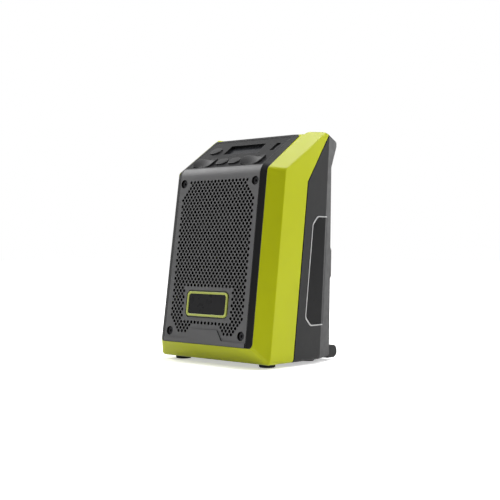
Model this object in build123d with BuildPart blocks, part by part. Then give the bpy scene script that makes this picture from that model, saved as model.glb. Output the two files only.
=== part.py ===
"""Compact jobsite radio: a leaning front with a perforated grille, a sloping control panel,
a chamfered mid frame, a rear housing with a slide-in battery socket, and the works inside.

Frame: origin under the middle of the bounding box, on the floor. +X is the right-hand side
as seen from the front, the front looks towards -Y, +Z is up. Millimetres.
"""
from build123d import *
from math import cos, radians, sin, tan
import os

# ---------------------------------------------------------------- case, driving sizes
case_depth = 101.0          # foremost edge of the face to the back of the head
case_half_width = 60.0      # at the seam, carried down to the floor
ridge_half_width = 59.2     # at the ridge between front chamfer and side, at the floor
rim_half_width = 49.8       # outer edge of the front bezel, at the floor
face_half_width = 44.4      # edge of the flat grille face, at the floor
side_taper = 0.5            # degrees that each side leans in
case_top = 183.7            # shoulders of the mid frame
shoulder_half_width = 49.0  # between the shoulders the top is lower
saddle_top = 181.5
crown_y = 28.2              # behind this the top falls towards the back
crown_fall = 15.4           # degrees
case_base = 3.0             # underside of the case, above the floor
wall = 2.6                  # case wall

face_lean = 7.9             # degrees, front face from vertical
panel_slope = 34.0          # degrees, control panel from horizontal
face_bottom = 16.0          # height of the face's lower edge
face_length = 139.0         # from that edge up to the brow
rim_depth = 2.0             # the bezel rim is bevelled back this far
ridge_depth = 13.4          # ridge line behind the face
ridge_drop = 9.1            # ridge line under the panel slope
seam_depth = 39.7           # seam between frame and rear housing, behind the face
seam_bend_height = 143.2
seam_angle = 54.7           # degrees, upper run of the seam from horizontal
panel_length = 51.5         # brow to the upper end of the bezel
bezel_top = 181.3
rim_top_half_width = 46.4   # the bezel narrows to this at its upper end
bezel_foot_radius = 3.6
bezel_head_radius = 3.0
brow_radius = 12.0          # rolled edge between face and panel
mitre_radius = 5.0          # soft corner beside the brow, where two chamfers meet
base_radius = 3.0
ridge_radius = 1.2
shoulder_radius = 1.8
head_blend = 4.0            # under the head, into the rear wall
corner_radius = 1.0

head_overhang = 10.4
rear_wall_y = case_depth / 2 - head_overhang
head_bottom = 156.0         # the head leaves the rear wall here
head_nose = 173.5           # and reaches its full depth here
head_radius = 2.5
facet_depth = 20.3
rear_side_y = rear_wall_y - facet_depth   # rear edge of the side at the floor
rear_side_lean = 4.75       # degrees
rear_corner_x = 53.9        # where the rear facet meets the rear wall, at the floor
lip_half_width = 53.5
lip_bottom = 2.2
lip_top = 12.4
belt_bottom = 67.0
belt_top = 91.0
belt_height = 1.6

fit_gap = 0.15              # between pieces that are fastened together
move_gap = 0.3              # between pieces that move on each other
gasket_thickness = 1.0
gasket_inset = 0.9
gasket_width = 1.7

# ---------------------------------------------------------------- front, driving sizes
plate_thickness = 1.8
hole_radius = 1.25
hole_pitch = 3.85
row_pitch = 2.45
field_half_width = 40.2
field_top = -9.6            # measured from the brow along the face
field_bottom = -131.2
field_corner_x = 9.0
field_corner_top = 17.5
field_corner_bottom = 15.5
tongue_top = -127.4
tongue_foot = -135.2
tongue_top_half = 14.2
tongue_foot_half = 19.8
tongue_height = 0.8
tongue_margin = 2.9
badge_centre = -107.6
badge_width = 44.0
badge_height = 19.4
badge_corner = 3.2
badge_ring = 1.7
badge_recess = 1.2
badge_proud = 0.5
badge_margin = 1.1
badge_clear = 3.6           # no holes this close to the badge recess
screw_x = 39.0
screw_upper = -10.5
screw_lower = -130.2
screw_recess_radius = 3.5
screw_head_radius = 2.8
screw_head_height = 1.8
screw_head_depth = 1.3
screw_shank_radius = 1.4
screw_hole_radius = 1.6
screw_post_radius = 4.2
mesh_thickness = 0.5
mesh_margin = 1.2
baffle_front = 7.0          # baffle that carries the loudspeaker, behind the face
baffle_back = 9.4
shelf_front = 17.0          # mid frame shelf that the bezel is screwed to
shelf_thickness = 2.4
shelf_opening_half = 34.5
shelf_opening_top = -18.0
shelf_opening_bottom = -119.0

# ---------------------------------------------------------------- control panel, driving sizes
panel_half_width = 42.0
panel_bottom = 3.7
panel_top = 46.4
panel_thickness = 2.2
panel_sink = 0.2
panel_corner = 2.0
board_depth = 8.2           # top of the control board, under the panel slope
board_thickness = 1.6
key_travel = 0.8
key_root = 4.4              # underside of the keys
rocker_angle = 2.5
switch_size = 6.0
switch_clear = 0.3          # a pressed key stops this far above its switch

# name: (x, distance up the slope, width, height, corner radius, proud of the panel)
keys = {
    "preset_button_1": (-7.1, 12.0, 11.4, 8.4, 3.4, 1.2),
    "preset_button_2": (6.5, 12.0, 11.4, 8.4, 3.4, 1.2),
    "power_button": (-28.8, 31.0, 10.8, 8.8, 3.6, 1.2),
    "mode_button": (35.2, 32.0, 4.6, 11.2, 1.2, -1.2),
}
# name: (x, distance up the slope, width, height, corner radius)
rockers = {
    "volume_rocker": (-26.2, 12.3, 21.6, 12.4, 4.0),
    "tuning_rocker": (26.2, 12.3, 21.6, 12.4, 4.0),
}
rocker_proud = 1.9
rocker_saddle = 32.0
rocker_axis_depth = 3.4
rocker_pin_radius = 0.8
rocker_pin_gap = 0.05
rocker_ear = 1.4
key_edge = 0.55
window_x = 1.9
window_run = 32.0
window_width = 38.0
window_height = 13.8
window_lap = 1.2
window_thickness = 1.2
display_margin = 2.0

# ---------------------------------------------------------------- loudspeaker, driving sizes
driver_run = -66.0          # centre, measured from the brow along the face
driver_flange_radius = 38.8
driver_hole_radius = 34.2
driver_flange_thickness = 1.2
basket_depth = 14.8         # back of the flange to the back of the basket floor
basket_floor_radius = 24.4
pole_plate_thickness = 2.0
magnet_radius = 22.5
magnet_thickness = 9.0
coil_radius = 9.6
cone_radius = 27.0
cone_travel = 1.0
driver_screw_radius = 36.7
driver_screw_shank = 1.0
driver_gasket = 0.5
surround_thickness = 0.5
roll_radius = 2.7
coil_wall = 0.6
coil_gap = 0.4              # voice coil to pole and to top plate

# ---------------------------------------------------------------- battery socket, driving sizes
socket_width = 46.0
socket_height = 34.0
socket_depth = 44.0
socket_centre = 36.0        # height of its axis
socket_wall = 2.2
socket_corner = 4.0
mouth_chamfer = 1.0
flange_width = 62.0
flange_height = 45.0
flange_thickness = 1.6

# ---------------------------------------------------------------- feet, fasteners, electronics
foot_radius = 6.4
foot_front_x = 46.0
foot_rear_x = 40.0
foot_front_y = -27.0
foot_rear_y = rear_wall_y - 12.1
foot_pocket = 1.4
case_screws = ((46.0, 21.0), (47.5, 134.0))   # across, up
case_post_radius = 5.4
case_recess_radius = 3.6
case_screw_head_radius = 3.2
case_screw_head_height = 2.2
case_seat_length = 6.0      # solid end of each rear post
case_screw_bite = 10.0      # shank inside the frame post
main_board_back = rear_wall_y - 8.6
main_board_thickness = 1.6
main_board_half_width = 40.0
main_board_bottom = 84.0
main_board_top = 138.0
rod_y = rear_wall_y - 3.1
rod_z = 167.5
rod_radius = 4.5
rod_half_length = 44.0

LEAN, SLOPE = radians(face_lean), radians(panel_slope)
TAPER = tan(radians(side_taper))
brow_y = -case_depth / 2 + face_length * sin(LEAN)
brow_z = face_bottom + face_length * cos(LEAN)
face = Plane(origin=(0, brow_y, brow_z), x_dir=(1, 0, 0), z_dir=(0, -cos(LEAN), sin(LEAN)))
slope = Plane(origin=(0, brow_y, brow_z), x_dir=(1, 0, 0), z_dir=(0, -sin(SLOPE), cos(SLOPE)))
head_rear_y = case_depth / 2
SIDES = (-1, 1)
os.makedirs("parts", exist_ok=True)


def on_face(run, depth):
    """Side view point: run up the face from the brow, depth behind it."""
    return (brow_y + run * sin(LEAN) + depth * cos(LEAN), brow_z + run * cos(LEAN) - depth * sin(LEAN))


def on_slope(run, depth):
    """Side view point: run up the panel slope from the brow, depth under it."""
    return (brow_y + run * cos(SLOPE) + depth * sin(SLOPE), brow_z + run * sin(SLOPE) - depth * cos(SLOPE))


def brow_at(face_depth, slope_depth):
    """Side view point where the sunk face and the sunk slope meet."""
    turn = cos(LEAN + SLOPE)
    back = (face_depth * cos(SLOPE) - slope_depth * sin(LEAN)) / turn
    up = (face_depth * sin(SLOPE) - slope_depth * cos(LEAN)) / turn
    return (brow_y + back, brow_z + up)


def face_y(height, depth):
    """Depth coordinate of the sunk face at a height."""
    return brow_y + (height - brow_z) * tan(LEAN) + depth / cos(LEAN)


def slope_y(height, depth):
    """Depth coordinate of the sunk slope at a height."""
    return brow_y + ((height - brow_z) * cos(SLOPE) + depth) / sin(SLOPE)


def plane_through(a, b, c, side):
    """Plane through three points, facing towards the given side of the object."""
    normal = (Vector(*b) - Vector(*a)).cross(Vector(*c) - Vector(*a))
    if normal.X * side < 0:
        normal = normal * -1
    return Plane(origin=a, z_dir=normal)


def side_face(half_width, side):
    return Plane(origin=(side * half_width, 0, 0), z_dir=(side, 0, TAPER))


def flank_plane(half_width, side):
    """Leaning plane at a half width, as side_face; its sketches have side * y and z."""
    return Plane(origin=(side * half_width, 0, 0), x_dir=(0, side, 0), z_dir=(side, 0, TAPER))


def face_bevel(side, inner, inner_depth, outer, outer_depth):
    """Bevel along the face between two half widths at two depths."""
    low, high = 40.0, 120.0
    a = (side * (inner - low * TAPER), face_y(low, inner_depth), low)
    b = (side * (inner - high * TAPER), face_y(high, inner_depth), high)
    c = (side * (outer - low * TAPER), face_y(low, outer_depth), low)
    return plane_through(a, b, c, side)


def slope_bevel(side, inner, inner_depth, outer, outer_depth):
    """Bevel along the panel slope between two half widths at two depths."""
    low, high = 155.0, 180.0
    a = (side * (inner - low * TAPER), slope_y(low, inner_depth), low)
    b = (side * (inner - high * TAPER), slope_y(high, inner_depth), high)
    c = (side * (outer - low * TAPER), slope_y(low, outer_depth), low)
    return plane_through(a, b, c, side)


def save(part, name):
    part.label = name
    export_step(part, f"parts/{name}.step")


# ================================================================ case
seam_foot = (face_y(case_base, seam_depth), case_base)
seam_bend = (face_y(seam_bend_height, seam_depth), seam_bend_height)
seam_rise = tan(radians(seam_angle))
fall = tan(radians(crown_fall))
crown = (crown_y, case_top)
head_top = case_top - (head_rear_y - crown_y) * fall
reach = 14.0                # extra length of cutters past what they cut


def seam_top(shift):
    """Where the seam, shifted backwards, meets the falling top of the case."""
    level = seam_bend[0] + shift + (case_top - seam_bend_height) / seam_rise
    y = (level * seam_rise + crown_y * fall) / (seam_rise + fall)
    return (y, case_top - (y - crown_y) * fall)


def frame_profile(shift):
    """Side view of the mid frame; shift moves its seam edge backwards."""
    return [
        (face_y(on_face(-face_length, rim_depth)[1], rim_depth), on_face(-face_length, rim_depth)[1]),
        (face_y(case_base, ridge_depth), case_base),
        (seam_foot[0] + shift, case_base),
        (seam_bend[0] + shift, seam_bend[1]),
        seam_top(shift),
        crown,
        (slope_y(case_top, rim_depth), case_top),
        brow_at(rim_depth, rim_depth),
    ]


def rear_profile(shift):
    """Side view of the rear housing; shift moves its seam edge forwards."""
    level = seam_bend[0] - shift + (case_top - seam_bend_height) / seam_rise
    front_top = [(level, case_top), crown] if level < crown_y else [seam_top(-shift)]
    return [
        (seam_foot[0] - shift, case_base),
        (seam_bend[0] - shift, seam_bend[1]),
        *front_top,
        (head_rear_y, head_top),
        (head_rear_y, head_nose),
        (rear_wall_y, head_bottom),
        (rear_wall_y, case_base),
    ]


frame_sides = [side_face(case_half_width, side) for side in SIDES]
frame_chamfers = [
    face_bevel(side, rim_half_width, rim_depth, ridge_half_width, ridge_depth) for side in SIDES
] + [slope_bevel(side, rim_half_width, rim_depth, ridge_half_width, ridge_drop) for side in SIDES]


def ridge_side(side):
    """Side of the mid frame, from the ridge to the seam."""
    low, high = 20.0, 120.0
    a = (side * (ridge_half_width - low * TAPER), face_y(low, ridge_depth), low)
    b = (side * (ridge_half_width - high * TAPER), face_y(high, ridge_depth), high)
    c = (side * (case_half_width - low * TAPER), face_y(low, seam_depth), low)
    return plane_through(a, b, c, side)


def rear_facet(side):
    """Facet between the side and the rear wall."""
    high = 136.0
    lean_y = tan(radians(rear_side_lean))
    a = (side * (case_half_width - case_base * TAPER), rear_side_y, case_base)
    b = (side * (case_half_width - high * TAPER), rear_side_y + (high - case_base) * lean_y, high)
    c = (side * rear_corner_x, rear_wall_y, case_base)
    return plane_through(a, b, c, side)


frame_cuts = [ridge_side(side) for side in SIDES] + frame_sides + frame_chamfers
rear_cuts = frame_sides + [rear_facet(side) for side in SIDES]


def extruded(profile, cuts, inset, rear_radius):
    """Side profile drawn across the width, cut to the sides, all set in by the inset."""
    with BuildPart() as shape:
        with BuildSketch(Plane.YZ) as outline:
            with BuildLine():
                Polyline(*profile, close=True)
            make_face()
            if rear_radius:
                rim = outline.vertices().sort_by(Axis.Y)[-2:].sort_by(Axis.X)[-1]
                fillet(rim, rear_radius)
            if inset:
                offset(amount=-inset, kind=Kind.INTERSECTION, mode=Mode.REPLACE)
        extrude(amount=case_half_width + reach, both=True)
        for cut in cuts:
            split(bisect_by=cut.offset(-inset), keep=Keep.BOTTOM)
    return shape.part


def saddled(shape, inset):
    """The shape with its top lowered between the shoulders, set in by the inset."""
    with BuildPart() as lowered:
        add(shape)
        with BuildSketch(Plane.XY.offset(saddle_top - inset)):
            Rectangle(2 * (shoulder_half_width + inset), 2 * case_depth)
        extrude(amount=reach, mode=Mode.SUBTRACT)
    return lowered.part


def mirrored(x, y, z):
    return [(side * (x - z * TAPER), y, z) for side in SIDES]


def rounded(shape, groups):
    """The shape with the edges nearest to each group's points rounded."""
    with BuildPart() as soft:
        add(shape)
        for spots, radius in groups:
            fillet([soft.edges().sort_by_distance(spot)[0] for spot in spots], radius)
    return soft.part


brow_corner = brow_at((rim_depth + ridge_depth) / 2, (rim_depth + ridge_drop) / 2)
corner_x = (rim_half_width + ridge_half_width) / 2
foot_rim = on_face(-face_length, rim_depth)
foot_corner_z = (foot_rim[1] + case_base) / 2
ridge_spot = case_top / 2
base_middle_y = (face_y(case_base, ridge_depth) + seam_foot[0]) / 2
frame_soft_edges = [
    (mirrored(corner_x, *brow_corner), mitre_radius),
    (mirrored(corner_x, (foot_rim[0] + face_y(case_base, ridge_depth)) / 2, foot_corner_z)
     + [(0, face_y(case_base, ridge_depth), case_base)]
     + mirrored((ridge_half_width + case_half_width) / 2, base_middle_y, case_base), base_radius),
    (mirrored(ridge_half_width, face_y(ridge_spot, ridge_depth), ridge_spot), ridge_radius),
]
frame_outer = rounded(extruded(frame_profile(0), frame_cuts, 0, 0), frame_soft_edges)
shoulder_spot_y = (slope_y(case_top, rim_depth) + crown_y) / 2
shoulder_edges = [(side * shoulder_half_width, shoulder_spot_y, case_top) for side in SIDES]
frame_outer = rounded(saddled(frame_outer, 0), [(shoulder_edges, shoulder_radius)])
frame_inner = saddled(extruded(frame_profile(reach), frame_cuts, wall, 0), wall)
facet_middle = (case_half_width + rear_corner_x) / 2
head_spot_z = (head_nose + head_top - head_radius) / 2
head_arc_spot = head_radius / 4
head_corner_x = rear_corner_x + (case_half_width - case_top * TAPER - rear_corner_x) / 2
rear_soft_edges = [
    (mirrored(case_half_width, 0, case_base)
     + [(side * facet_middle, (rear_side_y + rear_wall_y) / 2, case_base) for side in SIDES]
     + [(0, rear_wall_y, case_base)], base_radius),
    ([(0, rear_wall_y, head_bottom)], head_blend),
    ([(side * rear_corner_x, rear_wall_y, case_top / 2) for side in SIDES]
     + [(side * head_corner_x, (rear_wall_y + head_rear_y) / 2, (head_bottom + head_nose) / 2) for side in SIDES]
     + [(side * rear_corner_x, head_rear_y, head_spot_z) for side in SIDES]
     + [(side * rear_corner_x, head_rear_y - head_arc_spot, head_top - head_arc_spot) for side in SIDES]
     + [(side * head_corner_x, rear_wall_y, case_top - (rear_wall_y - crown_y) * fall) for side in SIDES],
     corner_radius),
]
rear_outer = saddled(rounded(extruded(rear_profile(0), rear_cuts, 0, head_radius), rear_soft_edges), 0)
rear_inner = saddled(extruded(rear_profile(reach), rear_cuts, wall, 0), wall)


def seam_line(shift):
    """Seam in the side view, run past both ends and shifted backwards."""
    rise = case_top + reach - seam_bend_height
    return [
        (face_y(case_base - reach, seam_depth) + shift, case_base - reach),
        (seam_bend[0] + shift, seam_bend[1]),
        (seam_bend[0] + rise / seam_rise + shift, case_top + reach),
    ]


def slab(profile, half_width):
    """Side profile drawn across the given half width."""
    with BuildPart() as shape:
        with BuildSketch(Plane.YZ):
            with BuildLine():
                Polyline(*profile, close=True)
            make_face()
        extrude(amount=half_width, both=True)
    return shape.part


def back_plane(y):
    """Upright plane across the object; its sketches have x and z, extrude(-d) goes backwards."""
    return Plane.XZ.offset(-y)


def case_screw_spots():
    return [(side * x, z) for x, z in case_screws for side in SIDES]


cut_width = case_half_width + reach
far = case_depth
seam_front = seam_line(-gasket_thickness / 2)
seam_back = seam_line(gasket_thickness / 2)
behind_seam = slab(seam_front + [(far, case_top + reach), (far, case_base - reach)], cut_width)
before_seam = slab(seam_back + [(-far, case_top + reach), (-far, case_base - reach)], cut_width)

tunnel_depth = shelf_front - 1.5
tunnel_end = panel_length + fit_gap
tunnel_foot = -face_length - fit_gap
tunnel_profile = [
    on_face(tunnel_foot, -reach / 2),
    on_face(tunnel_foot, tunnel_depth),
    brow_at(tunnel_depth, tunnel_depth),
    on_slope(tunnel_end, tunnel_depth),
    on_slope(tunnel_end, -reach / 2),
    brow_at(-reach / 2, -reach / 2),
]


def narrow_side(side):
    """Side of the bezel above the brow, where it narrows upwards."""
    narrowing = (rim_half_width - brow_z * TAPER - rim_top_half_width) / (bezel_top - brow_z)
    return Plane(origin=(side * rim_top_half_width, 0, bezel_top), z_dir=(side, 0, narrowing))


rim_cuts = [side_face(rim_half_width, side) for side in SIDES] + [narrow_side(side) for side in SIDES]
rim_spot_depth = (rim_depth + baffle_back) / 2
rim_foot_corners = mirrored(rim_half_width, *on_face(-face_length, rim_spot_depth))
rim_head_corners = [(side * rim_top_half_width, *on_slope(panel_length, rim_spot_depth)) for side in SIDES]
tunnel = rounded(extruded(tunnel_profile, [cut.offset(fit_gap) for cut in rim_cuts], 0, 0), [
    (rim_foot_corners, bezel_foot_radius + fit_gap),
    (rim_head_corners, bezel_head_radius + fit_gap),
])

# shelf behind the bezel, clipped to the case walls
with BuildPart() as shelf:
    with BuildSketch(face.offset(-shelf_front)):
        with Locations((0, -face_length / 2 - reach / 2)):
            Rectangle(2 * case_half_width, face_length + reach - 12.0)
        opening_height = shelf_opening_top - shelf_opening_bottom
        with Locations((0, (shelf_opening_top + shelf_opening_bottom) / 2)):
            RectangleRounded(2 * shelf_opening_half, opening_height, 5.0, mode=Mode.SUBTRACT)
        with Locations([(side * screw_x, run) for side in SIDES for run in (screw_upper, screw_lower)]):
            Circle(screw_shank_radius, mode=Mode.SUBTRACT)
    extrude(amount=-shelf_thickness)
    add(frame_outer, mode=Mode.INTERSECT)

shelf_back = shelf_front + shelf_thickness
foot_spots_front = [(side * foot_front_x, foot_front_y) for side in SIDES]
foot_spots_rear = [(side * foot_rear_x, foot_rear_y) for side in SIDES]

with BuildPart() as mid_frame:
    add(frame_outer)
    add(frame_inner, mode=Mode.SUBTRACT)
    add(tunnel, mode=Mode.SUBTRACT)
    add(shelf.part)
    for x, z in case_screw_spots():
        post_start = face_y(z, shelf_back) - shelf_thickness / 2
        with BuildSketch(back_plane(post_start)):
            with Locations((x, z)):
                Circle(screw_post_radius)
        extrude(amount=-(face_y(z, seam_depth) - post_start + 2.0))
    add(behind_seam, mode=Mode.SUBTRACT)
    for x, z in case_screw_spots():
        hole_end = face_y(z, seam_depth) - case_screw_bite - 1.0
        with BuildSketch(back_plane(hole_end)):
            with Locations((x, z)):
                Circle(screw_shank_radius)
        extrude(amount=-(case_screw_bite + 4.0), mode=Mode.SUBTRACT)
    with BuildSketch(Plane.XY.offset(case_base)):
        with Locations(foot_spots_front):
            Circle(foot_radius + fit_gap)
    extrude(amount=foot_pocket, mode=Mode.SUBTRACT)
save(mid_frame.part, "mid_frame")

# ---- gasket in the seam
gasket_zone = slab(seam_front + seam_back[::-1], cut_width)
gasket_core_inset = gasket_inset + gasket_width
with BuildPart() as housing_gasket:
    add(saddled(extruded(rear_profile(reach), frame_sides, gasket_inset, 0), gasket_inset))
    add(saddled(extruded(rear_profile(reach), frame_sides, gasket_core_inset, 0), gasket_core_inset),
        mode=Mode.SUBTRACT)
    add(gasket_zone, mode=Mode.INTERSECT)
save(housing_gasket.part, "housing_gasket")

# ---- rear housing
plaque_seam_gap = 9.7
plaque_bottom = 30.0
plaque_top = 116.5
plaque_corner = 6.2
plaque_round = 5.0
plaque_over = 4.0           # the pocket runs out over the rear facet
plaque_depth = 1.0
plaque_thickness = 0.8
trim_width = 0.9
rear_lean_y = tan(radians(rear_side_lean))


def plaque_points(side, inset):
    """Side plaque outline, set in from its three closed edges, run past the open one."""
    low, high = plaque_bottom + inset, plaque_top - inset
    front_low = face_y(low + plaque_corner, seam_depth) + plaque_seam_gap + inset
    front_high = face_y(high - plaque_corner, seam_depth) + plaque_seam_gap + inset
    points = [
        (front_low, low + plaque_corner),
        (front_high, high - plaque_corner),
        (front_high + plaque_corner, high),
        (rear_side_y + (high - case_base) * rear_lean_y + plaque_over, high),
        (rear_side_y + (low - case_base) * rear_lean_y + plaque_over, low),
        (front_low + plaque_corner, low),
    ]
    return [(side * y, z) for y, z in points]


def plaque_block(side, inset, thickness):
    """Block with the plaque's outline, standing on the floor of its pocket."""
    with BuildPart() as block:
        with BuildSketch(flank_plane(case_half_width, side).offset(-plaque_depth)) as outline:
            with BuildLine():
                Polyline(*plaque_points(side, inset), close=True)
            make_face()
            front = outline.vertices().filter_by(lambda corner: side * corner.X < rear_side_y)
            fillet(front, plaque_round - inset)
        extrude(amount=thickness)
    return block.part


lip_nose = 4.9
with BuildPart() as lip:
    with BuildSketch(Plane.YZ) as lip_outline:
        with Locations(((rear_wall_y - 2.0 + head_rear_y) / 2, (lip_bottom + lip_top) / 2)):
            Rectangle(head_rear_y - rear_wall_y + 2.0, lip_top - lip_bottom)
        fillet(lip_outline.vertices().group_by(Axis.X)[-1], lip_nose)
    extrude(amount=lip_half_width, both=True)

belt_profile = [
    (rear_wall_y - 1.0, belt_bottom - 1.0),
    (rear_wall_y + belt_height, belt_bottom + belt_height),
    (rear_wall_y + belt_height, belt_top - belt_height),
    (rear_wall_y - 1.0, belt_top + 1.0),
]
belt = extruded(belt_profile, rear_cuts, 0, 0)

socket_mouth = rear_wall_y + flange_thickness
socket_end = socket_mouth - socket_depth
socket_back = socket_end - socket_wall
socket_outer_width = socket_width + 2 * socket_wall
socket_outer_height = socket_height + 2 * socket_wall
socket_screw_spots = [
    (side * (flange_width / 2 - 3.6), socket_centre + up * (flange_height / 2 - 3.6))
    for side in SIDES
    for up in SIDES
]
socket_boss_length = 8.0
board_post_radius = 3.2
board_spots = [(side * (main_board_half_width - 5.0), z)
               for side in SIDES for z in (main_board_bottom + 6.0, main_board_top - 6.0)]
cradle_x = 30.0
cradle_thickness = 3.0
cradle_front = rod_y - rod_radius - 1.6
head_slant = (head_rear_y - rear_wall_y) / (head_nose - head_bottom)
cradle_bottom = rod_z - rod_radius - 4.0
cradle_profile = [
    (cradle_front, cradle_bottom),
    (cradle_front, rod_z),
    (rear_wall_y + (rod_z - head_bottom) * head_slant - wall / 2, rod_z),
    (rear_wall_y + (cradle_bottom - head_bottom) * head_slant - wall / 2, cradle_bottom),
]

with BuildPart() as rear_housing:
    add(rear_outer)
    add(lip.part)
    add(belt)
    add(rear_inner, mode=Mode.SUBTRACT)
    for x, z in case_screw_spots():
        seat = face_y(z, seam_depth)
        with BuildSketch(back_plane(seat - 2.0)):
            with Locations((x, z)):
                Circle(case_post_radius)
        extrude(amount=-(rear_wall_y - 1.0 - seat + 2.0))
    with BuildSketch(back_plane(rear_wall_y - wall - socket_boss_length)):
        with Locations(socket_screw_spots):
            Circle(board_post_radius)
    extrude(amount=-(socket_boss_length + 1.0))
    with BuildSketch(back_plane(main_board_back)):
        with Locations(board_spots):
            Circle(board_post_radius)
    extrude(amount=-(rear_wall_y - 1.0 - main_board_back))
    for side in SIDES:
        with BuildSketch(Plane.YZ.offset(side * cradle_x - cradle_thickness / 2)):
            with BuildLine():
                Polyline(*cradle_profile, close=True)
            make_face()
            with Locations((rod_y, rod_z)):
                Circle(rod_radius + fit_gap, mode=Mode.SUBTRACT)
        extrude(amount=cradle_thickness)
    add(before_seam, mode=Mode.SUBTRACT)
    for x, z in case_screw_spots():
        seat = face_y(z, seam_depth)
        with BuildSketch(back_plane(seat)):
            with Locations((x, z)):
                Circle(screw_hole_radius)
        extrude(amount=-(case_seat_length + 2.0), mode=Mode.SUBTRACT)
        with BuildSketch(back_plane(seat + case_seat_length)):
            with Locations((x, z)):
                Circle(case_recess_radius)
        extrude(amount=-(rear_wall_y - seat), mode=Mode.SUBTRACT)
    with BuildSketch(back_plane(rear_wall_y - wall - socket_boss_length - 1.0)):
        with Locations(socket_screw_spots):
            Circle(screw_shank_radius)
    extrude(amount=-(socket_boss_length + wall + 2.0), mode=Mode.SUBTRACT)
    with BuildSketch(back_plane(main_board_back - 1.0)):
        with Locations(board_spots):
            Circle(screw_shank_radius)
    extrude(amount=-5.0, mode=Mode.SUBTRACT)
    with BuildSketch(back_plane(rear_wall_y - wall - 2.0)):
        with Locations((0, socket_centre)):
            RectangleRounded(socket_outer_width + 2 * fit_gap, socket_outer_height + 2 * fit_gap,
                             socket_corner + socket_wall)
    extrude(amount=-(wall + 4.0), mode=Mode.SUBTRACT)
    with BuildSketch(Plane.XY.offset(case_base)):
        with Locations(foot_spots_rear):
            Circle(foot_radius + fit_gap)
    extrude(amount=foot_pocket, mode=Mode.SUBTRACT)
    for side in SIDES:
        add(plaque_block(side, 0, plaque_depth + 2.0), mode=Mode.SUBTRACT)
save(rear_housing.part, "rear_housing")


# ---- the rest of the case: fasteners, feet, side plaques
with BuildPart() as housing_screws:
    for x, z in case_screw_spots():
        head_front = face_y(z, seam_depth) + case_seat_length
        with BuildSketch(back_plane(head_front)):
            with Locations((x, z)):
                Circle(case_screw_head_radius)
                RegularPolygon(1.3, 6, mode=Mode.SUBTRACT)
        extrude(amount=-case_screw_head_height)
        with BuildSketch(back_plane(head_front + 0.8)):
            with Locations((x, z)):
                Circle(case_screw_head_radius)
        extrude(amount=0.8)
        shank_length = case_seat_length + case_screw_bite
        with BuildSketch(back_plane(head_front)):
            with Locations((x, z)):
                Circle(screw_shank_radius - 0.05)
        extrude(amount=shank_length)
save(housing_screws.part, "housing_screws")

with BuildPart() as feet:
    with BuildSketch():
        with Locations(foot_spots_front + foot_spots_rear):
            Circle(foot_radius)
    extrude(amount=case_base + foot_pocket)
    chamfer(feet.edges().group_by(Axis.Z)[0], 0.6)
save(feet.part, "feet")

for side, name in ((-1, "side_plaque_left"), (1, "side_plaque_right")):
    with BuildPart() as plaque:
        add(plaque_block(side, trim_width + fit_gap, plaque_thickness))
        split(bisect_by=rear_facet(side).offset(-fit_gap), keep=Keep.BOTTOM)
    save(plaque.part, name)

trim_proud = 0.15
with BuildPart() as plaque_trims:
    for side in SIDES:
        add(plaque_block(side, fit_gap / 2, plaque_depth + trim_proud))
    for side in SIDES:
        add(plaque_block(side, trim_width, plaque_depth + reach), mode=Mode.SUBTRACT)
        split(bisect_by=rear_facet(side).offset(-fit_gap), keep=Keep.BOTTOM)
save(plaque_trims.part, "plaque_trims")

# ================================================================ front
plate_sides = [side_face(face_half_width, side) for side in SIDES]
panel_middle = (panel_bottom + panel_top) / 2
panel_height = panel_top - panel_bottom
screw_spots = [(side * screw_x, run) for side in SIDES for run in (screw_upper, screw_lower)]
board_bottom_run = panel_bottom + 2.4
board_top_run = panel_top - 0.6
board_half_width = panel_half_width + 2.0
chamber_half_width = 39.6
chamber_bottom_run = panel_bottom + 0.4
chamber_top_run = panel_top - 2.0
board_screw_spots = [(side * (board_half_width - 2.4), run)
                     for side in SIDES for run in (board_bottom_run + 5.0, board_top_run - 6.0)]


def brow_block(profile, brow, radius, half_widths):
    """Block across the width from a side profile whose brow corner is rounded."""
    with BuildPart() as shape:
        with BuildSketch(Plane.YZ) as outline:
            with BuildLine():
                Polyline(*profile, close=True)
            make_face()
            fillet(outline.vertices().sort_by_distance((*brow, 0))[0], radius)
        extrude(amount=half_widths, both=True)
    return shape.part


def field_outline(margin):
    """Corners of the perforated field, grown by a margin."""
    half = field_half_width + margin
    top, bottom = field_top + margin, field_bottom - margin
    return [
        (half, bottom + field_corner_bottom),
        (half, top - field_corner_top),
        (half - field_corner_x, top),
        (field_corner_x - half, top),
        (-half, top - field_corner_top),
        (-half, bottom + field_corner_bottom),
        (field_corner_x - half, bottom),
        (half - field_corner_x, bottom),
    ]


def block_profile(sink):
    """Side view of the bezel with its front sunk."""
    return [
        on_face(-face_length, sink),
        brow_at(sink, sink),
        on_slope(panel_length, sink),
        on_slope(panel_length, baffle_back),
        brow_at(baffle_back, baffle_back),
        on_face(-face_length, baffle_back),
    ]


def slope_end(run):
    """Plane square to the panel slope at a run, facing up it."""
    return Plane(origin=(0, *on_slope(run, 0)), z_dir=slope.y_dir)


plate_seat_profile = [
    on_face(-face_length - 1.0, plate_thickness),
    brow_at(plate_thickness, plate_thickness),
    on_slope(panel_length, plate_thickness),
    on_slope(panel_length, -reach),
    brow_at(-reach, -reach),
    on_face(-face_length - 1.0, -reach),
]
inner_brow_radius = brow_radius - plate_thickness
plate_seat = brow_block(plate_seat_profile, brow_at(plate_thickness, plate_thickness),
                        inner_brow_radius, cut_width)
with BuildPart() as plate_pocket:
    add(plate_seat)
    for side in SIDES:
        split(bisect_by=side_face(face_half_width + fit_gap, side), keep=Keep.BOTTOM)
    split(bisect_by=slope_end(panel_bottom), keep=Keep.BOTTOM)


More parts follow.
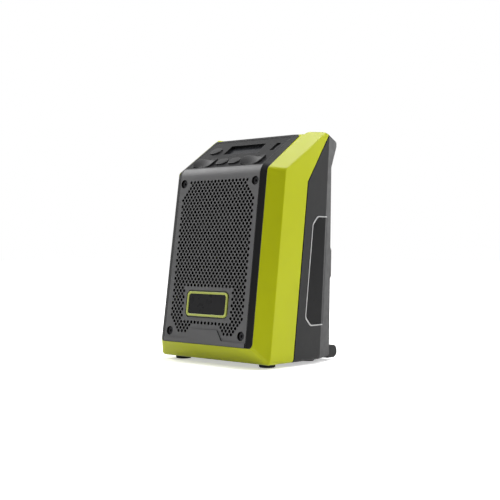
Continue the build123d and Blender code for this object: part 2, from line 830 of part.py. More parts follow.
def bezel_flank(side):
    """Bevelled flank of the bezel: its section sinks from the face's edge out to the rim."""
    with BuildPart() as flank:
        for half_width, sink in ((face_half_width, 0), (rim_half_width, rim_depth)):
            with BuildSketch(flank_plane(half_width, side)) as outline:
                with BuildLine():
                    Polyline(*[(side * y, z) for y, z in block_profile(sink)], close=True)
                make_face()
                corner_y, corner_z = brow_at(sink, sink)
                brow = outline.vertices().sort_by_distance((side * corner_y, corner_z, 0))[0]
                fillet(brow, brow_radius)
        loft(ruled=True)
    return flank.part


with BuildPart() as bezel_block:
    add(brow_block(block_profile(0), brow_at(0, 0), brow_radius, cut_width))
    for side in SIDES:
        split(bisect_by=side_face(face_half_width, side), keep=Keep.BOTTOM)
    for side in SIDES:
        add(bezel_flank(side))
    for cut in rim_cuts + [Plane.XY.offset(bezel_top)]:
        split(bisect_by=cut, keep=Keep.BOTTOM)

with BuildPart() as front_bezel:
    add(rounded(bezel_block.part, [(rim_foot_corners, bezel_foot_radius), (rim_head_corners, bezel_head_radius)]))
    add(plate_pocket.part, mode=Mode.SUBTRACT)
    # seat and chamber of the control panel
    with BuildSketch(slope.offset(-panel_sink - panel_thickness)):
        with Locations((0, panel_middle)):
            RectangleRounded(2 * (panel_half_width + fit_gap), panel_height + 2 * fit_gap, panel_corner)
    extrude(amount=reach, mode=Mode.SUBTRACT)
    with BuildSketch(slope.offset(-board_depth - reach / 2)):
        with Locations((0, (chamber_bottom_run + chamber_top_run) / 2)):
            Rectangle(2 * chamber_half_width, chamber_top_run - chamber_bottom_run)
    extrude(amount=board_depth + reach / 2, mode=Mode.SUBTRACT)
    with BuildSketch(slope.offset(-board_depth)):
        with Locations((0, (board_bottom_run + board_top_run) / 2)):
            Rectangle(2 * (board_half_width + fit_gap), board_top_run - board_bottom_run + 2 * fit_gap)
    extrude(amount=-reach, mode=Mode.SUBTRACT)
    with BuildSketch(slope.offset(-board_depth)):
        with Locations(board_screw_spots):
            Circle(screw_shank_radius - 0.25)
    extrude(amount=4.6, mode=Mode.SUBTRACT)
    # chamber behind the grille, and the loudspeaker's hole
    with BuildSketch(face.offset(-baffle_front)):
        with BuildLine():
            Polyline(*field_outline(mesh_margin + 2 * fit_gap), close=True)
        make_face()
    extrude(amount=baffle_front, mode=Mode.SUBTRACT)
    with BuildSketch(face.offset(-baffle_back - 1.0)):
        with Locations((0, driver_run)):
            Circle(driver_hole_radius)
    extrude(amount=reach / 2, mode=Mode.SUBTRACT)
    with BuildSketch(face.offset(-baffle_back - 1.0)):
        with Locations((0, driver_run)):
            with PolarLocations(driver_screw_radius, 4, start_angle=45):
                Circle(driver_screw_shank + 0.05)
    extrude(amount=baffle_back - baffle_front + 0.8, mode=Mode.SUBTRACT)
    # screw sleeves down to the shelf
    with BuildSketch(face.offset(-baffle_back + 1.0)):
        with Locations(screw_spots):
            Circle(screw_post_radius)
    extrude(amount=-(shelf_front - baffle_back + 1.0))
    with BuildSketch(face):
        with Locations(screw_spots):
            Circle(screw_hole_radius)
    extrude(amount=-shelf_front - 1.0, mode=Mode.SUBTRACT)
    with BuildSketch(face.offset(-screw_head_depth - screw_head_height)):
        with Locations(screw_spots):
            Circle(screw_recess_radius)
    extrude(amount=reach, mode=Mode.SUBTRACT)
save(front_bezel.part, "front_bezel")

# ---- perforated plate
plate_foot = -face_length + 2 * fit_gap
plate_profile = [
    on_face(plate_foot, 0),
    brow_at(0, 0),
    on_slope(panel_length, 0),
    on_slope(panel_length, plate_thickness),
    brow_at(plate_thickness, plate_thickness),
    on_face(plate_foot, plate_thickness),
]


def in_field(x, run):
    """Whether a grille hole is drilled here."""
    past_top = (run - field_top) / field_corner_top + 1.0
    past_bottom = (field_bottom - run) / field_corner_bottom + 1.0
    past_side = (abs(x) - field_half_width) / field_corner_x + 1.0
    if abs(x) > field_half_width or (past_side > 0 and past_side + max(past_top, past_bottom) > 1.001):
        return False
    badge_half_width = badge_width / 2 + badge_margin + badge_clear
    badge_half_height = badge_height / 2 + badge_margin + badge_clear
    if abs(x) < badge_half_width and abs(run - badge_centre) < badge_half_height:
        return False
    if run < tongue_top + tongue_margin:
        flank = (tongue_foot_half - tongue_top_half) / (tongue_top - tongue_foot)
        return abs(x) > tongue_top_half + (tongue_top + tongue_margin - run) * flank + tongue_margin / 2
    return True


rows = int((field_top - field_bottom) / row_pitch) + 1
columns = int(field_half_width / hole_pitch) + 1
holes = []
for row in range(rows):
    run = field_top - row * row_pitch
    for column in range(-columns, columns + 1):
        x = (column + 0.5 * (row % 2)) * hole_pitch
        if in_field(x, run):
            holes.append((x, run))

with BuildPart() as speaker_grille:
    with BuildSketch(Plane.YZ) as plate_outline:
        with BuildLine():
            Polyline(*plate_profile, close=True)
        make_face()
        fillet(plate_outline.vertices().sort_by_distance((*brow_at(0, 0), 0))[0], brow_radius)
        inner_brow = (*brow_at(plate_thickness, plate_thickness), 0)
        fillet(plate_outline.vertices().sort_by_distance(inner_brow)[0], inner_brow_radius)
    extrude(amount=cut_width, both=True)
    split(bisect_by=slope_end(panel_bottom - fit_gap), keep=Keep.BOTTOM)
    with BuildSketch(face):
        with BuildLine():
            Polyline(
                (-cut_width, plate_foot),
                (cut_width, plate_foot),
                (cut_width, tongue_foot),
                (tongue_foot_half, tongue_foot),
                (tongue_top_half, tongue_top),
                (-tongue_top_half, tongue_top),
                (-tongue_foot_half, tongue_foot),
                (-cut_width, tongue_foot),
                close=True,
            )
        make_face()
    extrude(amount=tongue_height)
    for cut in plate_sides:
        split(bisect_by=cut, keep=Keep.BOTTOM)
    with BuildSketch(face.offset(-badge_recess)):
        with Locations((0, badge_centre)):
            RectangleRounded(badge_width + 2 * badge_margin, badge_height + 2 * badge_margin,
                             badge_corner + badge_margin)
    extrude(amount=reach, mode=Mode.SUBTRACT)
    with BuildSketch(face.offset(tongue_height)):
        with Locations(screw_spots):
            Circle(screw_recess_radius)
    extrude(amount=-reach, mode=Mode.SUBTRACT)
    with BuildSketch(face.offset(tongue_height)):
        with Locations(holes):
            Circle(hole_radius)
    extrude(amount=-(tongue_height + plate_thickness + 1.0), mode=Mode.SUBTRACT)
save(speaker_grille.part, "speaker_grille")

with BuildPart() as dust_mesh:
    with BuildSketch(face.offset(-plate_thickness)):
        with BuildLine():
            Polyline(*field_outline(mesh_margin), close=True)
        make_face()
    extrude(amount=-mesh_thickness)
save(dust_mesh.part, "dust_mesh")

with BuildPart() as badge_surround:
    with BuildSketch(face.offset(-badge_recess)):
        with Locations((0, badge_centre)):
            RectangleRounded(badge_width, badge_height, badge_corner)
            RectangleRounded(badge_width - 2 * badge_ring, badge_height - 2 * badge_ring,
                             badge_corner - badge_ring / 2, mode=Mode.SUBTRACT)
    extrude(amount=badge_recess + badge_proud)
save(badge_surround.part, "badge_surround")

badge_plate_inset = badge_ring + fit_gap / 2
with BuildPart() as badge_plate:
    with BuildSketch(face.offset(-badge_recess)):
        with Locations((0, badge_centre)):
            RectangleRounded(badge_width - 2 * badge_plate_inset, badge_height - 2 * badge_plate_inset,
                             badge_corner - badge_ring / 2)
    extrude(amount=badge_recess + badge_proud - 0.5)
save(badge_plate.part, "badge_plate")

with BuildPart() as grille_screws:
    with BuildSketch(face.offset(-screw_head_depth - screw_head_height)):
        with Locations(screw_spots):
            Circle(screw_head_radius)
    extrude(amount=screw_head_height)
    with BuildSketch(face.offset(-screw_head_depth)):
        with Locations(screw_spots):
            RegularPolygon(1.35, 6)
    extrude(amount=-1.1, mode=Mode.SUBTRACT)
    with BuildSketch(face.offset(-screw_head_depth - screw_head_height)):
        with Locations(screw_spots):
            Circle(screw_shank_radius - 0.05)
    extrude(amount=-(shelf_back - screw_head_depth - screw_head_height + 2.0))
save(grille_screws.part, "grille_screws")

# ================================================================ control panel
rocker_gap = 0.5
with BuildPart() as control_panel:
    with BuildSketch(slope.offset(-panel_sink)):
        with Locations((0, panel_middle)):
            RectangleRounded(2 * panel_half_width, panel_height, panel_corner)
        for x, run, width, height, corner, proud in keys.values():
            with Locations((x, run)):
                RectangleRounded(width + 2 * move_gap, height + 2 * move_gap, corner + move_gap,
                                 mode=Mode.SUBTRACT)
        for x, run, width, height, corner in rockers.values():
            with Locations((x, run)):
                RectangleRounded(width + 2 * rocker_gap, height + 2 * rocker_gap, corner + rocker_gap,
                                 mode=Mode.SUBTRACT)
        with Locations((window_x, window_run)):
            RectangleRounded(window_width, window_height, 0.8, mode=Mode.SUBTRACT)
    extrude(amount=-panel_thickness)
    # ears that carry the rockers' pins
    ear_drop = rocker_axis_depth + rocker_pin_radius + 1.0
    for x, run, width, height, corner in rockers.values():
        for end in SIDES:
            ear_run = run + end * (height / 2 + rocker_gap + rocker_ear / 2)
            with BuildSketch(slope.offset(-panel_sink - panel_thickness + 0.4)):
                with Locations((x, ear_run)):
                    Rectangle(4.4, rocker_ear)
            extrude(amount=-(ear_drop - panel_sink - panel_thickness + 0.4))
        bore_origin = Vector(x, *on_slope(run, rocker_axis_depth))
        with BuildSketch(Plane(origin=bore_origin, x_dir=(1, 0, 0), z_dir=slope.y_dir)):
            Circle(rocker_pin_radius + rocker_pin_gap)
        extrude(amount=height, both=True, mode=Mode.SUBTRACT)
save(control_panel.part, "control_panel")

out_of_slope = Axis(slope.origin, slope.z_dir)
for name, (x, run, width, height, corner, proud) in keys.items():
    with BuildPart() as key:
        with BuildSketch(slope.offset(-key_root)):
            with Locations((x, run)):
                RectangleRounded(width, height, corner)
        extrude(amount=key_root - panel_sink + proud)
        fillet(key.faces().sort_by(out_of_slope)[-1].edges(), key_edge)
        flange_top = panel_sink + panel_thickness + move_gap
        with BuildSketch(slope.offset(-key_root)):
            with Locations((x, run)):
                RectangleRounded(width + 1.6, height + 1.6, corner + 0.8)
        extrude(amount=key_root - flange_top)
    save(key.part, name)

for name, (x, run, width, height, corner) in rockers.items():
    with BuildPart() as rocker:
        with BuildSketch(slope.offset(-key_root)):
            with Locations((x, run)):
                RectangleRounded(width, height, corner)
        extrude(amount=key_root + rocker_proud)
        saddle_origin = Vector(x, *on_slope(run, 0.3 - rocker_saddle))
        with BuildSketch(Plane(origin=saddle_origin, x_dir=(1, 0, 0), z_dir=slope.y_dir)):
            Circle(rocker_saddle)
        extrude(amount=height, both=True, mode=Mode.SUBTRACT)
        pin_reach = height / 2 + rocker_gap + rocker_ear - 0.2
        pin_origin = Vector(x, *on_slope(run, rocker_axis_depth))
        with BuildSketch(Plane(origin=pin_origin, x_dir=(1, 0, 0), z_dir=slope.y_dir)):
            Circle(rocker_pin_radius)
        extrude(amount=pin_reach, both=True)
    save(rocker.part, name)

panel_back = panel_sink + panel_thickness
with BuildPart() as display_window:
    with BuildSketch(slope.offset(-panel_back)):
        with Locations((window_x, window_run)):
            RectangleRounded(window_width + 2 * window_lap, window_height + 2 * window_lap, 1.0)
    extrude(amount=-window_thickness)
save(display_window.part, "display_window")

with BuildPart() as display_module:
    with BuildSketch(slope.offset(-board_depth)):
        with Locations((window_x, window_run)):
            Rectangle(window_width + 2 * display_margin, window_height + 2 * display_margin)
    extrude(amount=board_depth - panel_back - window_thickness - move_gap)
save(display_module.part, "display_module")

board_spots_run = (board_bottom_run + board_top_run) / 2
with BuildPart() as control_board:
    with BuildSketch(slope.offset(-board_depth)):
        with Locations((0, board_spots_run)):
            Rectangle(2 * board_half_width, board_top_run - board_bottom_run)
        with Locations(board_screw_spots):
            Circle(screw_hole_radius - 0.25, mode=Mode.SUBTRACT)
    extrude(amount=-board_thickness)
save(control_board.part, "control_board")

switch_spots = [(x, run) for x, run, width, height, corner, proud in keys.values()]
for x, run, width, height, corner in rockers.values():
    switch_spots += [(x + end * 7.0, run) for end in SIDES]
switch_top = key_root + key_travel + switch_clear
with BuildPart() as key_switches:
    with BuildSketch(slope.offset(-board_depth)):
        with Locations(switch_spots):
            Rectangle(switch_size, switch_size)
    extrude(amount=board_depth - switch_top - 0.6)
    with BuildSketch(slope.offset(-switch_top)):
        with Locations(switch_spots):
            Circle(1.6)
    extrude(amount=-0.6)
save(key_switches.part, "key_switches")

with BuildPart() as control_board_screws:
    with BuildSketch(slope.offset(-board_depth - board_thickness)):
        with Locations(board_screw_spots):
            Circle(2.2)
    extrude(amount=-1.2)
    with BuildSketch(slope.offset(-board_depth - board_thickness)):
        with Locations(board_screw_spots):
            Circle(screw_shank_radius - 0.3)
    extrude(amount=board_thickness + 4.2)
save(control_board_screws.part, "control_board_screws")

connector_depth = 4.0
panel_cable_x = -18.0
panel_cable_run = 36.0
with BuildPart() as panel_connector:
    with BuildSketch(slope.offset(-board_depth - board_thickness)):
        with Locations((panel_cable_x, panel_cable_run)):
            Rectangle(9.0, 6.0)
    extrude(amount=-connector_depth)
save(panel_connector.part, "panel_connector")

# ================================================================ loudspeaker
driver_face = Plane(origin=(0, *on_face(driver_run, 0)), x_dir=(1, 0, 0), z_dir=face.z_dir)
section = Plane(origin=driver_face.origin, x_dir=face.y_dir, z_dir=(-1, 0, 0))
driver_axis = Axis(driver_face.origin, face.z_dir)
surround_front = baffle_back + driver_gasket
flange_front = surround_front + surround_thickness
flange_back = flange_front + driver_flange_thickness
floor_back = flange_back + basket_depth - driver_flange_thickness
floor_front = floor_back - driver_flange_thickness
plate_back = floor_back + pole_plate_thickness
magnet_back = plate_back + magnet_thickness
yoke_back = magnet_back + pole_plate_thickness
coil_outer = coil_radius + coil_wall
roll_centre = cone_radius + move_gap + roll_radius + 0.1


def turned(profile):
    """Ring or disc turned about the loudspeaker axis; the profile is radius, depth."""
    with BuildPart() as shape:
        with BuildSketch(section):
            with BuildLine():
                Polyline(*profile, close=True)
            make_face()
        revolve(axis=driver_axis)
    return shape.part


def ring(inner, outer, front, back):
    return turned([(inner, front), (outer, front), (outer, back), (inner, back)])


def driver_screw_holes(front, back, radius):
    """Clearance holes round the rim of the loudspeaker."""
    with BuildPart() as screw_holes:
        with BuildSketch(driver_face.offset(-back)):
            with PolarLocations(driver_screw_radius, 4, start_angle=45):
                Circle(radius)
        extrude(amount=back - front)
    return screw_holes.part


with BuildPart() as speaker_gasket:
    add(ring(driver_hole_radius + 0.2, driver_flange_radius - 0.3, baffle_back, surround_front))
    add(driver_screw_holes(baffle_back, surround_front, driver_screw_shank + 0.3), mode=Mode.SUBTRACT)
save(speaker_gasket.part, "speaker_gasket")

with BuildPart() as speaker_surround:
    with BuildSketch(section):
        with Locations((roll_centre, flange_front)):
            Circle(roll_radius)
            Circle(roll_radius - surround_thickness, mode=Mode.SUBTRACT)
        with Locations((roll_centre, flange_front + roll_radius)):
            Rectangle(4 * roll_radius, 2 * roll_radius, mode=Mode.SUBTRACT)
        lip_inner = roll_centre + roll_radius - surround_thickness
        lip_outer = driver_flange_radius - 0.3
        with Locations(((lip_inner + lip_outer) / 2, (surround_front + flange_front) / 2)):
            Rectangle(lip_outer - lip_inner, surround_thickness)
    revolve(axis=driver_axis)
    add(driver_screw_holes(surround_front, flange_front, driver_screw_shank + 0.3), mode=Mode.SUBTRACT)
save(speaker_surround.part, "speaker_surround")

flange_inner = driver_flange_radius - 5.6
ledge_front = floor_front - 0.6
with BuildPart() as speaker_basket:
    add(turned([
        (flange_inner, flange_front),
        (driver_flange_radius, flange_front),
        (driver_flange_radius, flange_back),
        (flange_inner + 1.4, flange_back),
        (basket_floor_radius, floor_back),
        (coil_outer + coil_gap + 1.0, floor_back),
        (coil_outer + coil_gap + 1.0, floor_front),
        (basket_floor_radius - 4.0, floor_front),
        (basket_floor_radius - 4.0, ledge_front),
        (basket_floor_radius - 1.0, ledge_front),
        (flange_inner, flange_front + 0.8),
    ]))
    add(driver_screw_holes(flange_front, flange_back, driver_screw_shank + 0.3), mode=Mode.SUBTRACT)
    with BuildSketch(driver_face.offset(-ledge_front + 1.4)):
        Rectangle(4 * basket_floor_radius, 20.0)
        Rectangle(20.0, 4 * basket_floor_radius)
    extrude(amount=ledge_front - 1.4 - flange_back - 2.0, mode=Mode.SUBTRACT)
save(speaker_basket.part, "speaker_basket")

spider_back = ledge_front
spider_front = spider_back - 0.5
save(ring(coil_outer + move_gap, basket_floor_radius - 2.0, spider_front, spider_back), "speaker_spider")
save(ring(coil_outer + coil_gap, magnet_radius - 2.5, floor_back, plate_back), "magnet_top_plate")
save(ring(coil_outer + coil_gap + 0.8, magnet_radius, plate_back, magnet_back), "speaker_magnet")
pole_radius = coil_radius - coil_gap
save(turned([
    (0, floor_back),
    (pole_radius, floor_back),
    (pole_radius, magnet_back),
    (magnet_radius - 1.5, magnet_back),
    (magnet_radius - 1.5, yoke_back),
    (0, yoke_back),
]), "magnet_yoke")

cone_back = spider_front - cone_travel - move_gap
cone_front = flange_front + 0.2
cone_thickness = 0.6
cone_rise = (cone_back - cone_thickness - cone_front) / (cone_radius - coil_outer)
save(ring(coil_radius, coil_outer, cone_back - cone_thickness - 0.4, plate_back + 2.4), "voice_coil")
save(turned([
    (coil_outer, cone_back - cone_thickness),
    (cone_radius, cone_front),
    (cone_radius, cone_front + cone_thickness),
    (coil_outer, cone_back),
]), "speaker_cone")

cap_radius = 12.4
cap_rise = 3.4
cap_rim = cone_back - cone_thickness - (cap_radius - coil_outer) * cone_rise - 0.1
cap_front = cap_rim - cap_rise
cap_sphere = (cap_radius ** 2 + cap_rise ** 2) / (2 * cap_rise)
with BuildPart() as dust_cap:
    with BuildSketch(section):
        with Locations((0, cap_front + cap_sphere)):
            Circle(cap_sphere)
            Circle(cap_sphere - 0.5, mode=Mode.SUBTRACT)
        with Locations((cap_radius / 2, cap_front + cap_rise / 2)):
            Rectangle(cap_radius, cap_rise, mode=Mode.INTERSECT)
    revolve(axis=driver_axis)
save(dust_cap.part, "dust_cap")

with BuildPart() as speaker_screws:
    with BuildSketch(driver_face.offset(-flange_back)):
        with PolarLocations(driver_screw_radius, 4, start_angle=45):
            Circle(1.9)
    extrude(amount=-1.4)
    with BuildSketch(driver_face.offset(-flange_back)):
        with PolarLocations(driver_screw_radius, 4, start_angle=45):
            Circle(driver_screw_shank)
    extrude(amount=flange_back - baffle_front - 0.4)
save(speaker_screws.part, "speaker_screws")

tag_run = flange_inner + 2.6
tag_end = flange_back + 6.0
with BuildPart() as speaker_terminals:
    with BuildSketch(driver_face.offset(-flange_back)):
        with Locations((0, tag_run)):
            Rectangle(12.0, 1.4)
    extrude(amount=-4.4)
    with BuildSketch(driver_face.offset(-flange_back - 4.4)):
        with Locations((-3.0, tag_run), (3.0, tag_run)):
            Rectangle(2.8, 0.8)
    extrude(amount=flange_back + 4.4 - tag_end)
save(speaker_terminals.part, "speaker_terminals")

# ================================================================ battery socket
blade_spots = [(x, socket_centre) for x in (-10.0, 0.0, 10.0)]
blade_thickness, blade_height = 1.0, 6.4
blade_reach = 9.0           # how far the blades stand into the socket
block_width, block_height, block_depth = 40.0, 22.0, 8.0
with BuildPart() as battery_socket:
    with BuildSketch(back_plane(rear_wall_y)):
        with Locations((0, socket_centre)):
            RectangleRounded(flange_width, flange_height, socket_corner)
    extrude(amount=-flange_thickness)
    with BuildSketch(back_plane(socket_back)):
        with Locations((0, socket_centre)):
            RectangleRounded(socket_outer_width, socket_outer_height, socket_corner + socket_wall)
    extrude(amount=-(socket_mouth - socket_back))
    with BuildSketch(back_plane(socket_end)):
        with Locations((0, socket_centre)):
            RectangleRounded(socket_width, socket_height, socket_corner)
    extrude(amount=-(socket_depth + 1.0), mode=Mode.SUBTRACT)
    chamfer(battery_socket.faces().sort_by(Axis.Y)[-1].inner_wires()[0].edges(), mouth_chamfer)
    with BuildSketch(back_plane(socket_back - 1.0)):
        with Locations(blade_spots):
            Rectangle(blade_thickness + 0.2, blade_height + 0.2)
    extrude(amount=-(socket_wall + 2.0), mode=Mode.SUBTRACT)
    with BuildSketch(back_plane(rear_wall_y - 1.0)):
        with Locations(socket_screw_spots):
            Circle(screw_hole_radius)
    extrude(amount=-(flange_thickness + 2.0), mode=Mode.SUBTRACT)
save(battery_socket.part, "battery_socket")

with BuildPart() as terminal_block:
    with BuildSketch(back_plane(socket_back - block_depth)):
        with Locations((0, socket_centre)):
            RectangleRounded(block_width, block_height, 1.5)
        with Locations(blade_spots):
            Rectangle(blade_thickness + 0.1, blade_height + 0.1, mode=Mode.SUBTRACT)
    extrude(amount=-block_depth)
save(terminal_block.part, "terminal_block")

with BuildPart() as battery_contacts:
    with BuildSketch(back_plane(socket_back - block_depth - 1.5)):
        with Locations(blade_spots):
            Rectangle(blade_thickness, blade_height)
    extrude(amount=-(block_depth + 1.5 + socket_wall + blade_reach))
save(battery_contacts.part, "battery_contacts")

with BuildPart() as socket_screws:
    with BuildSketch(back_plane(socket_mouth)):
        with Locations(socket_screw_spots):
            Circle(screw_head_radius)
    extrude(amount=-screw_head_height)
    with BuildSketch(back_plane(socket_mouth + screw_head_height)):
        with Locations(socket_screw_spots):
            RegularPolygon(1.35, 6)
    extrude(amount=1.1, mode=Mode.SUBTRACT)
    with BuildSketch(back_plane(socket_mouth)):
        with Locations(socket_screw_spots):
            Circle(screw_shank_radius - 0.05)
    extrude(amount=flange_thickness + wall + socket_boss_length - 1.0)
save(socket_screws.part, "socket_screws")

# ================================================================ main board
board_front = main_board_back - main_board_thickness
board_middle = (main_board_bottom + main_board_top) / 2
with BuildPart() as main_board:
    with BuildSketch(back_plane(board_front)):
        with Locations((0, board_middle)):
            RectangleRounded(2 * main_board_half_width, main_board_top - main_board_bottom, 2.0)
        with Locations(board_spots):
            Circle(screw_hole_radius, mode=Mode.SUBTRACT)
    extrude(amount=-main_board_thickness)
save(main_board.part, "main_board")

with BuildPart() as main_board_screws:
    with BuildSketch(back_plane(board_front)):
        with Locations(board_spots):
            Circle(2.5)
    extrude(amount=1.4)
    with BuildSketch(back_plane(board_front)):
        with Locations(board_spots):
            Circle(screw_shank_radius - 0.05)
    extrude(amount=-(main_board_thickness + 3.6))
save(main_board_screws.part, "main_board_screws")

# name: ((across, up, width, height, depth off the board), ...)
board_parts = {
    "board_chips": ((-4.0, 112.0, 11.0, 11.0, 1.4), (27.0, 119.0, 9.0, 9.0, 1.2), (-4.0, 97.0, 8.0, 6.0, 1.2)),
    "tuner_module": ((28.0, 104.0, 15.0, 14.0, 3.0),),
    "board_connectors": (
        (-17.0, 89.5, 7.0, 7.0, 6.0),
        (17.0, 89.5, 7.0, 7.0, 6.0),
        (0.0, 128.0, 11.0, 6.0, 6.0),
        (panel_cable_x, 132.0, 9.0, 7.0, 6.0),
        (12.0, 131.0, 6.0, 6.0, 6.0),
    ),
}
for name, spots in board_parts.items():
    with BuildPart() as component:
        for x, z, width, height, rise in spots:
            with BuildSketch(back_plane(board_front)):
                with Locations((x, z)):
                    Rectangle(width, height)
            extrude(amount=rise)
    save(component.part, name)

with BuildPart() as capacitors:
    with BuildSketch(back_plane(board_front)):
        with Locations((-30.0, 98.0), (-30.0, 108.0), (14.0, 119.0)):
            Circle(4.0)
    extrude(amount=10.0)
    fillet(capacitors.edges().group_by(Axis.Y)[0], 0.6)
save(capacitors.part, "capacitors")

sink_x, sink_z, sink_width, sink_height = -18.0, 115.0, 14.0, 20.0
with BuildPart() as heat_sink:
    with BuildSketch(back_plane(board_front)):
        with Locations((sink_x, sink_z)):
            Rectangle(sink_width, sink_height)
    extrude(amount=2.0)
    with BuildSketch(back_plane(board_front - 2.0)):
        with Locations((sink_x, sink_z)):
            with GridLocations(3.1, 0, 5, 1):
                Rectangle(1.2, sink_height)
    extrude(amount=7.0)
save(heat_sink.part, "heat_sink")

# ---- rod antenna
with BuildPart() as ferrite_rod:
    with BuildSketch(Plane.YZ.offset(-rod_half_length)):
        with Locations((rod_y, rod_z)):
            Circle(rod_radius)
    extrude(amount=2 * rod_half_length)
save(ferrite_rod.part, "ferrite_rod")

coil_thickness = 1.0
coil_half_length = 18.0
with BuildPart() as antenna_coil:
    with BuildSketch(Plane.YZ.offset(-coil_half_length)):
        with Locations((rod_y, rod_z)):
            Circle(rod_radius + 0.1 + coil_thickness)
            Circle(rod_radius + 0.1, mode=Mode.SUBTRACT)
    extrude(amount=2 * coil_half_length)
save(antenna_coil.part, "antenna_coil")


# ---- leads, each held at both ends; points are depth and height
def leads(name, spots, points, bend, radius):
    with BuildPart() as lead:
        for x in spots:
            with BuildLine(Plane.YZ.offset(x)) as route:
                FilletPolyline(*points, radius=bend)
            with BuildSketch(Plane(origin=route.line @ 0, z_dir=route.line % 0)):
                Circle(radius)
            sweep(path=route.line)
    save(lead.part, name)


lead_y = board_front - 3.4
connector_foot = 86.0
block_y = socket_back - block_depth / 2
block_top = socket_centre + block_height / 2
leads("battery_leads", (-17.0, 17.0),
      [(block_y, block_top), (block_y, block_top + 12.0), (lead_y, 68.0), (lead_y, connector_foot)], 7.0, 1.1)
tag_y, tag_z = on_face(driver_run + tag_run, tag_end)
leads("speaker_leads", (-3.0, 3.0),
      [(tag_y, tag_z), on_face(driver_run + tag_run, tag_end + 12.0), (10.0, 128.0), (board_front - 6.1, 128.0)],
      9.0, 0.8)
cable_start = on_slope(panel_cable_run, board_depth + board_thickness + connector_depth)
cable_turn = on_slope(panel_cable_run, board_depth + board_thickness + connector_depth + 13.0)
leads("panel_cable", (panel_cable_x,),
      [cable_start, cable_turn, (lead_y, 147.0), (lead_y, 135.5)], 5.0, 1.3)
leads("antenna_lead", (12.0,),
      [(rod_y - 3.0, rod_z - 5.4), (rod_y - 3.0, 150.0), (lead_y, 143.0), (lead_y, 134.0)], 4.0, 0.7)
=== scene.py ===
"""Looks of the jobsite radio: finishes, softened edges, floor, lights, world and camera."""
from math import cos, radians, sin

import bpy
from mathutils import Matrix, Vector

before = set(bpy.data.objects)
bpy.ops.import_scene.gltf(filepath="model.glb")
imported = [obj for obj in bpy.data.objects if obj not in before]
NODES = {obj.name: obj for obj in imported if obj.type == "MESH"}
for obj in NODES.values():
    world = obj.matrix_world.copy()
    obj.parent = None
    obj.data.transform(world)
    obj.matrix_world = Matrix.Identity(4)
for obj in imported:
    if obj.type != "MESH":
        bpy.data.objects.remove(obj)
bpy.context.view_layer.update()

MM = 0.001

# Painted shade on walls that stay in shade: a near-black colour and no gloss, set by a direction and the
# cosines to it that give no painted shade and full painted shade.
FACE_LEAN = radians(7.9)
FACE_NORMAL = (0.0, -cos(FACE_LEAN), sin(FACE_LEAN))
# near-black colour painted on those walls as shade
PAINTED_SHADE = (0.002, 0.002, 0.002)
GRILLE_PAINTED_SHADE = (FACE_NORMAL, 0.50, 0.35)       # painted shade in holes, steps and recesses, square to the face
SEAM_PAINTED_SHADE = ((0.0, -1.0, 0.0), 0.35, 0.50)    # painted shade on the rear housing's side of the seam

# Noise scales, per metre.
MOTTLE_SCALE = 28.0
DUST_SCALE = 160.0
STAIN_SCALE = 90.0
FIBRE_SCALE = 420.0
NOISE_MIDDLE = (0.3, 0.7)                      # the part of a noise's range that is used

# Painted highlight along edges: a paler colour where the rounded normal leaves the true one.
EDGE_RADIUS = 0.45                             # mm
EDGE_SAMPLES = 4
EDGE_COSINES = (0.995, 0.88)                   # rounded normal to true one: no painted highlight, full painted highlight
EDGE_HIGHLIGHT_GREY = 0.75
EDGE_HIGHLIGHT_SHARE = 0.35

# Roughness swing, bump strength and, for metal, bump depth in mm.
PLASTIC_SWING, PLASTIC_BUMP = 0.05, 0.6
METAL_SWING, METAL_BUMP, METAL_DEPTH = 0.08, 0.35, 0.01
METAL_TONES = (0.82, 1.08)
CLOTH_ROUGH, CLOTH_BUMP, CLOTH_WARP = 0.9, 0.7, 0.6
CLOTH_TONES = (0.7, 1.25)
WAVE_PER_PITCH = 0.314                         # a wave's scale times its pitch in metres

# Sockets of the Mix node, which share their names.
MIX_FACTOR, MIX_NUMBERS, MIX_COLOURS = 0, (2, 3), (6, 7)
NUMBER_OUT, COLOUR_OUT = 0, 2


# ---------------------------------------------------------------- node kit
def noise(tree, place, scale, detail=2.0, rough=0.5):
    node = tree.nodes.new("ShaderNodeTexNoise")
    node.inputs["Scale"].default_value = scale
    node.inputs["Detail"].default_value = detail
    node.inputs["Roughness"].default_value = rough
    tree.links.new(place.outputs["Object"], node.inputs["Vector"])
    return node.outputs["Fac"]


def remap(tree, source, start, end, low, high, smooth=False):
    """Maps a range onto another, held at both ends."""
    node = tree.nodes.new("ShaderNodeMapRange")
    if smooth:
        node.interpolation_type = "SMOOTHSTEP"
    node.inputs["From Min"].default_value = start
    node.inputs["From Max"].default_value = end
    node.inputs["To Min"].default_value = low
    node.inputs["To Max"].default_value = high
    tree.links.new(source, node.inputs["Value"])
    return node.outputs["Result"]


def spread(tree, source, low, high):
    """Maps the middle of a noise onto a range."""
    return remap(tree, source, *NOISE_MIDDLE, low, high)


def combined(tree, operation, *parts):
    """Math node; each part is a number or a socket."""
    node = tree.nodes.new("ShaderNodeMath")
    node.operation = operation
    for socket, part in zip(node.inputs, parts):
        if isinstance(part, float):
            socket.default_value = part
        else:
            tree.links.new(part, socket)
    return node.outputs["Value"]


def dot_product(tree, first, second):
    """Cosine between two directions; the second is a vector or a socket."""
    node = tree.nodes.new("ShaderNodeVectorMath")
    node.operation = "DOT_PRODUCT"
    tree.links.new(first, node.inputs[0])
    if isinstance(second, tuple):
        node.inputs[1].default_value = second
    else:
        tree.links.new(second, node.inputs[1])
    return node.outputs["Value"]


def mixed(tree, factor, first, second):
    """Colour mix; each side is a colour or a socket."""
    node = tree.nodes.new("ShaderNodeMix")
    node.data_type = "RGBA"
    tree.links.new(factor, node.inputs["Factor"])
    for index, value in zip(MIX_COLOURS, (first, second)):
        if isinstance(value, tuple):
            node.inputs[index].default_value = (*value, 1.0)
        else:
            tree.links.new(value, node.inputs[index])
    return node.outputs[COLOUR_OUT]


def scaled(colour, factor):
    return tuple(min(1.0, part * factor) for part in colour)


